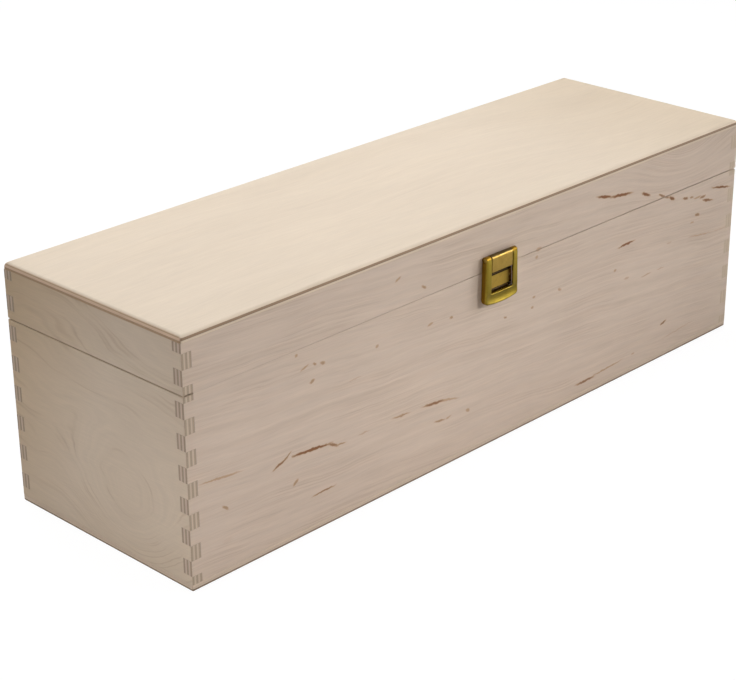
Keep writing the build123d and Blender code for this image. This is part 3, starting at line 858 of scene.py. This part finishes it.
def softened(node, name, finish, ease, segments=2, sharp=math.radians(38), reshape=None):
    built = bmesh.new()
    built.from_mesh(nodes[node].data)
    bmesh.ops.remove_doubles(built, verts=built.verts, dist=merge_distance)
    bmesh.ops.dissolve_limit(built, angle_limit=flat_angle, verts=built.verts, edges=built.edges)
    if reshape:
        reshape(built)
    piece = empty_piece(name)
    built.to_mesh(piece.data)
    built.free()
    for layer in ("custom_normal", "sharp_edge", "sharp_face"):
        if layer in piece.data.attributes:
            piece.data.attributes.remove(piece.data.attributes[layer])
    piece.data.shade_smooth()
    soft = piece.modifiers.new("soft_edges", "BEVEL")
    soft.limit_method = "ANGLE"
    soft.angle_limit = sharp
    soft.width = ease
    soft.segments = segments
    soft.harden_normals = True
    bake(piece)
    piece.data.materials.clear()
    piece.data.materials.append(finish)
    return piece


def corner_filler(radius):
    """Brings a panel's upright corners, rounded by this radius, out towards those of the walls beside it."""
    middle = Vector((length / 2 - radius, width / 2 - radius))

    def fill_corners(built):
        for vertex in built.verts:
            past = Vector((abs(vertex.co.x), abs(vertex.co.y))) - middle
            if min(past) > 0:
                way = past.normalized()
                out = past * (way.x ** squareness + way.y ** squareness) ** (-1 / squareness)
                vertex.co.x = math.copysign(middle.x + out.x, vertex.co.x)
                vertex.co.y = math.copysign(middle.y + out.y, vertex.co.y)

    return fill_corners


for node, name, body, slot, radius in (
    ("lid_top_panel", "lid_top_sheet", "lid", "wood_top", top_corner),
    ("base_bottom_panel", "base_bottom_sheet", "base", "wood_bottom", foot_corner),
):
    panel = softened(node, name, birch_of[slot], joint_ease, sharp=math.radians(60),
                     reshape=corner_filler(radius))
    settle(panel, body, slot, node)

# %% [markdown]
# ## Brass
#
# The hasp is pressed from thin sheet and plated, polished once and handled since. The metal
# itself is one colour, so what makes it real is how its gloss changes: cloudy patches where
# fingers touch it and fine scratches along the way it was polished. A darker colour is painted
# where shade falls and where the metal would mirror shaded wood: behind the front faces, over the
# tops and on the folded edges. This painted shade also dims the highlights there. The wear and the
# painted shade are one group that every brass finish uses with its own values.

# %% Brass wear and painted shade group
brushed_scale = (300, 300, 5200)
speck_scale = 2600.0

tree, given = open_group("brass_wear_and_painted_shade", "ShaderNodeTree",
    {"Clean": any_colour, "Dull": any_colour, "Painted Shade": any_colour, "Patch Scale": 160.0, "Gloss": 0.22,
     "Spread": 0.2, "Shaded Behind": 1.0, "Low": -1.0, "High": 1.0, "Fade": 0.0005})
here = wire(tree, "ShaderNodeTexCoord", output="Object")
x, y, z = split(here)
# painted shade mask: past the given depth behind the front, under Low and over High, the colour turns to the
# painted shade colour
behind, under, over = [(past - edge) / given["Fade"] for past, edge in (
    (y, given["Shaded Behind"]), (given["Low"], z), (z, given["High"]))]
painted_shade_mask = clamp(calc("MAXIMUM", calc("MAXIMUM", behind, under), over))
patch = ramp(noise(here, given["Patch Scale"], 3.0, 0.55), 0.4, 0.68)
speck = ramp(noise(here, speck_scale), 0.62, 0.75)
brushed = noise(here * brushed_scale, 1.0, 2.0, 0.6)
handled = blend(patch * 0.55 + speck * 0.35, given["Clean"], given["Dull"])
brass_wear_and_painted_shade = close_group(tree, Color=blend(painted_shade_mask, handled, given["Painted Shade"]),
                         Roughness=patch * given["Spread"] + given["Gloss"] + brushed * 0.08,
                         Height=patch * 0.4 + brushed)


def brass(name, clean, dull, gloss, spread, patch_scale, painted_shade_places=None):
    """Clean and dull are the colours between patches and in them, and gloss and spread the roughness
    likewise. The last argument tells where the painted shade colour covers the metal: what lies
    behind the given depth, under Low or over High."""
    material = bpy.data.materials.new(name)
    tree = fresh_tree(material)
    look = use(tree, brass_wear_and_painted_shade, {"Clean": (*clean, 1), "Dull": (*dull, 1), "Gloss": gloss, "Spread": spread,
               "Patch Scale": patch_scale, **(painted_shade_places or {})})
    end_material(tree, look, 0.12, 0.05 * mm, {"Metallic": 1.0})
    return material


hasp_low, hasp_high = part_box("latch_frame")
plate_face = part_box("latch_lid_plate")[0].y
catch_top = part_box("latch_catch_plate")[1].z
hook_start = catch_top - 7.0 * mm
# Each finish's darkest colour below is painted shade: on the hasp behind its front and over its top, on the
# lid plate behind its face, and near black on the catch plate's fold under the lid plate and below the
# tongue, behind the hasp's bar.
brass_of = {
    "brass_hasp": brass("brass_of_hasp", (0.43, 0.31, 0.045), (0.29, 0.205, 0.027), 0.38, 0.1, 190,
        {"Painted Shade": (0.3, 0.17, 0.015, 1), "Shaded Behind": hasp_low.y + 0.9 * mm,
         "High": hasp_high.z - 1.5 * mm, "Fade": 0.5 * mm}),
    "brass_plates": brass("brass_of_lid_plate", (0.58, 0.385, 0.09), (0.41, 0.26, 0.06), 0.4, 0.1, 240,
        {"Painted Shade": (0.13, 0.085, 0.03, 1), "Shaded Behind": plate_face + 0.12 * mm, "Fade": 0.3 * mm}),
    "latch_catch_plate": brass("brass_of_catch", (0.58, 0.385, 0.075), (0.41, 0.26, 0.05), 0.4, 0.1, 240,
        {"Painted Shade": (0.035, 0.022, 0.008, 1), "Low": hook_start, "High": catch_top - 1.25 * mm,
         "Fade": 0.15 * mm}),
    "brass_pins": brass("brass_of_pins", (0.52, 0.37, 0.1), (0.32, 0.22, 0.06), 0.3, 0.15, 300),
    "brass_leaves": brass("brass_of_leaves", (0.64, 0.45, 0.14), (0.48, 0.33, 0.1), 0.34, 0.12, 170),
    "brass_fixings": brass("brass_of_fixings", (0.58, 0.41, 0.12), (0.36, 0.25, 0.07), 0.32, 0.15, 400),
}
print("brass finishes:", ", ".join(m.name for m in brass_of.values()))

# %% [markdown]
# ## The bar of the hasp
#
# The thumb lifts the hasp by the bar under its window, so the press gave that bar a shallow
# hollow with a lip that turns out at the bottom. It is what draws the bright band across the
# bottom of the latch. The frame's copy is cut into thin level strips there, and each strip of
# sheet, front and back together, is moved towards the wood by a round curve. The front of the
# lip and of the window's edge stay where they were, so the hasp gets no deeper.

# %% Press the hollow into the hasp's bar
bar_low = hasp_low.z + 0.5 * mm
bar_height = 5.2 * mm
bar_bow = 1.1 * mm  # the ends of the bottom edge lie this much higher than its middle
bar_reach = hasp_high.x
hollow = 0.62 * mm
sheet_depth = 0.75 * mm
rows_cut, columns_cut = 18, 14


def cut_through(built, place, normal):
    geometry = built.verts[:] + built.edges[:] + built.faces[:]
    bmesh.ops.bisect_plane(built, geom=geometry, plane_co=place, plane_no=normal, dist=1e-7)


def press_bar(built):
    for n in range(rows_cut + 1):
        cut_through(built, (0, 0, bar_low + (bar_height + bar_bow) * n / rows_cut), (0, 0, 1))
    for n in range(1, columns_cut):
        cut_through(built, (bar_reach * (2 * n / columns_cut - 1), 0, 0), (1, 0, 0))
    for vertex in built.verts:
        aside = vertex.co.x / bar_reach
        rise = (vertex.co.z - bar_low - bar_bow * aside ** 2) / bar_height
        if 0 < rise < 1 and vertex.co.y < hasp_low.y + sheet_depth:
            vertex.co.y += hollow * math.sin(math.pi * rise) * (1 - aside ** 6)


print(f"hollow {hollow / mm:.2f} mm deep, in {rows_cut} rows and {columns_cut} columns")

# %% The latch and the hinges
brass_pieces = [("latch_frame", "hasp_frame", "hasp", "brass_hasp", 0.14),
                ("latch_lid_plate", "lid_plate", "lid", "brass_plates", 0.16),
                ("latch_catch_plate", "catch_plate", "base", "brass_plates", 0.14),
                ("latch_pivot_pin", "pivot_pin", "lid", "brass_pins", 0.08)]
for body in ("base", "lid"):
    for side in ("left", "right"):
        leaf = (f"hinge_{side}_{body}_leaf", f"{side}_hinge_{body}_leaf", body, "brass_leaves", 0.07)
        brass_pieces.append(leaf)
for side in ("left", "right"):
    brass_pieces.append((f"hinge_{side}_pin", f"{side}_hinge_pin", "base", "brass_pins", 0.05))
for node, name, body, slot, ease in brass_pieces:
    finish = brass_of.get(node, brass_of[slot])
    reshape = press_bar if node == "latch_frame" else None
    settle(softened(node, name, finish, ease * mm, 3, reshape=reshape), body, slot, node)

# %% [markdown]
# ## Screws and nails
#
# Fasteners repeat, so one is drawn and Geometry Nodes sets out the rest. The profile of a screw
# or nail is turned round its axis, and the tree puts it at each place: pairs at a spacing, and
# each one turned further than the last, because nobody leaves all slots in line.

# %% Tree that sets out fasteners
tree, given = open_group("fasteners", "GeometryNodeTree",
    {"Geometry": GEOMETRY, "Pairs": 2, "Pair Distance": 0.22, "Spacing": 0.018, "Middle": origin,
     "Slot Turn": 0.96, "Facing Turn": 0.0, "Finish": MATERIAL})
points = wire(tree, "GeometryNodePoints", {"Count": given["Pairs"] * 2.0})
index = wire(tree, "GeometryNodeInputIndex")
pair = calc("FLOOR", index / 2.0) - (given["Pairs"] - 1.0) / 2.0
x = pair * given["Pair Distance"] + (index % 2.0 - 0.5) * given["Spacing"]
points = wire(tree, "GeometryNodeSetPosition", {"Geometry": points, "Position": join(x) + given["Middle"]})
turn = join(0.0, index * given["Slot Turn"], given["Facing Turn"])
copies = wire(tree, "GeometryNodeInstanceOnPoints", {"Points": points, "Instance": given["Geometry"],
              "Rotation": turn})
fasteners = close_group(tree, Geometry=finished(copies, given["Finish"]))


def turned(name, profile, steps):
    """A turned piece with its head looking along -Y. The profile gives radius and height, head first."""
    built = bmesh.new()
    rings = []
    for radius, y in profile:
        angles = [2 * math.pi * n / steps for n in range(steps if radius else 1)]
        rings.append([built.verts.new((radius * math.sin(a), -y, radius * math.cos(a))) for a in angles])
    for a, b in zip(rings, rings[1:]):
        for n in range(steps):
            m = (n + 1) % steps
            corners = [a[n % len(a)], a[m % len(a)], b[m % len(b)], b[n % len(b)]]
            built.faces.new(list(dict.fromkeys(corners)))
    bmesh.ops.recalc_face_normals(built, faces=built.faces)
    piece = empty_piece(name)
    built.to_mesh(piece.data)
    built.free()
    return piece


def cut_slot(piece, slot_size):
    """Cuts a driver's slot of this length, depth and width across the head."""
    cutter = empty_piece(piece.name + "_slot")
    block = bmesh.new()
    across, depth, along = slot_size
    bmesh.ops.create_cube(block, size=1.0, matrix=Matrix.Diagonal((across, 2 * depth, along, 1)))
    block.to_mesh(cutter.data)
    block.free()
    cut = piece.modifiers.new("slot", "BOOLEAN")
    cut.operation = "DIFFERENCE"
    cut.solver = "EXACT"
    cut.object = cutter
    bake(piece)
    bpy.data.objects.remove(cutter)

# %% Screws of the hinges and nails of the latch
screw_low, screw_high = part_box("hinge_base_screws")
screw_head = 1.5 * mm
screw_shank = 0.8 * mm
screw_length = screw_high.y - screw_low.y
screw_spacing = 18 * mm
hinge_distance = screw_high.x - screw_low.x - 2 * screw_head - screw_spacing
slot_size = (2.4 * screw_head, 0.35 * mm, 0.38 * mm)
head_depth = 0.72 * mm
thread_start, thread_pitch, thread_turns = 1.2 * mm, 0.42 * mm, 6
screw_profile = [(0, 0.0), (screw_head * 0.97, 0.0), (screw_head, -0.04 * mm), (screw_shank, -head_depth)]
for n in range(thread_turns):
    start = -thread_start - n * thread_pitch
    screw_profile += [(screw_shank * 0.78, start), (screw_shank, start - thread_pitch / 2)]
screw_profile += [(screw_shank * 0.7, -screw_length + 0.9 * mm), (0, -screw_length)]

nail_low, nail_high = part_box("latch_lid_nails")
nail_head = 0.85 * mm
nail_shank = 0.5 * mm
head_rise = 0.4 * mm
nail_length = nail_high.y - nail_low.y
dome_angles = [math.radians(degrees) for degrees in (0, 22, 45, 68, 90)]
nail_profile = [(nail_head * math.sin(a), -head_rise * (1 - math.cos(a))) for a in dome_angles]
nail_profile += [(nail_shank, -head_rise), (nail_shank, -nail_length + 0.5 * mm), (0, -nail_length)]

turn_steps = 24
for name, node, body, slot_turn in (
    ("base_hinge_screws", "hinge_base_screws", "base", math.radians(55)),
    ("lid_hinge_screws", "hinge_lid_screws", "lid", math.radians(70)),
    ("lid_plate_nails", "latch_lid_nails", "lid", 0.0),
    ("catch_plate_nails", "latch_catch_nails", "base", 0.0),
):
    low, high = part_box(node)
    is_screw = "screws" in node
    piece = turned(name, screw_profile if is_screw else nail_profile, turn_steps)
    if is_screw:
        cut_slot(piece, slot_size)
    head_y = high.y if is_screw else low.y
    use_tree(piece, fasteners, {"Pairs": 2 if is_screw else 1, "Pair Distance": hinge_distance,
             "Spacing": screw_spacing if is_screw else high.x - low.x - 2 * nail_head,
             "Middle": ((low.x + high.x) / 2, head_y, (low.z + high.z) / 2), "Slot Turn": slot_turn,
             "Facing Turn": math.pi if is_screw else 0.0, "Finish": brass_of["brass_fixings"]})
    settle(bake(piece), body, "brass_fixings", node)
